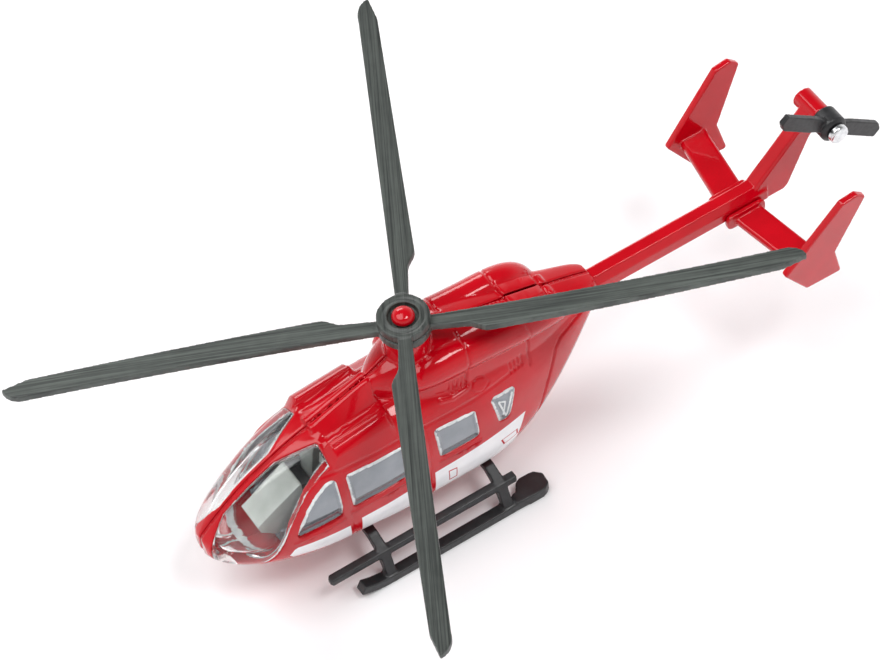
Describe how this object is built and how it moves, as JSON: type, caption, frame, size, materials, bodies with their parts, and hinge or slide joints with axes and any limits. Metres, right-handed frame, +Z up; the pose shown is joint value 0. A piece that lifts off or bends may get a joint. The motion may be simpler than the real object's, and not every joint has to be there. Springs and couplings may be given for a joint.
{
  "type": "toy helicopter",
  "caption": "Die-cast toy rescue helicopter with clear windscreen, skid landing gear, a freely turning main rotor and a small tail rotor.",
  "frame": {"origin": "on the ground under the middle of the bounding box", "axes": "+X towards the nose, +Y to port, +Z up"},
  "size_m": [0.1468, 0.114, 0.0476],
  "materials": {
    "red_paint": "gloss",
    "red_plastic": "gloss",
    "rotor_plastic": "brushed matt",
    "black_plastic": "satin",
    "clear_plastic": "clear",
    "window_plastic": "smoked",
    "interior_grey": "satin",
    "pale_plastic": "satin",
    "zinc_steel": "zinc plated",
    "bright_steel": "bright"
  },
  "bodies": {
    "airframe": {"body_left": "red_paint", "body_right": "red_paint", "tail_boom": "red_paint", "tailplane_left": "red_paint", "tailplane_right": "red_paint", "windscreen": "clear_plastic", "side_windows_left": "window_plastic", "side_windows_right": "window_plastic", "interior_tub": "interior_grey", "dashboard": "pale_plastic", "front_seats": "black_plastic", "seat_backs": "pale_plastic", "landing_gear": "black_plastic", "gear_screws": "zinc_steel", "body_screws": "zinc_steel", "rotor_pin": "red_plastic", "tail_rivet": "bright_steel"},
    "lower_rotor": {"main_rotor_lower": "rotor_plastic"},
    "upper_rotor": {"main_rotor_upper": "rotor_plastic"},
    "tail_rotor": {"tail_rotor": "black_plastic"}
  },
  "joints": [
    {"name": "main_rotor_spin", "type": "hinge", "parent": "airframe", "child": "lower_rotor", "pos_m": [0.015, 0, 0.0413], "axis": [0, 0, 1], "continuous": true},
    {"name": "upper_rotor_spin", "type": "hinge", "parent": "lower_rotor", "child": "upper_rotor", "pos_m": [0.015, 0, 0.0431], "axis": [0, 0, 1], "continuous": true},
    {"name": "tail_rotor_spin", "type": "hinge", "parent": "airframe", "child": "tail_rotor", "pos_m": [-0.0639, 0.0047, 0.0392], "axis": [0, 1, 0], "continuous": true}
  ]
}
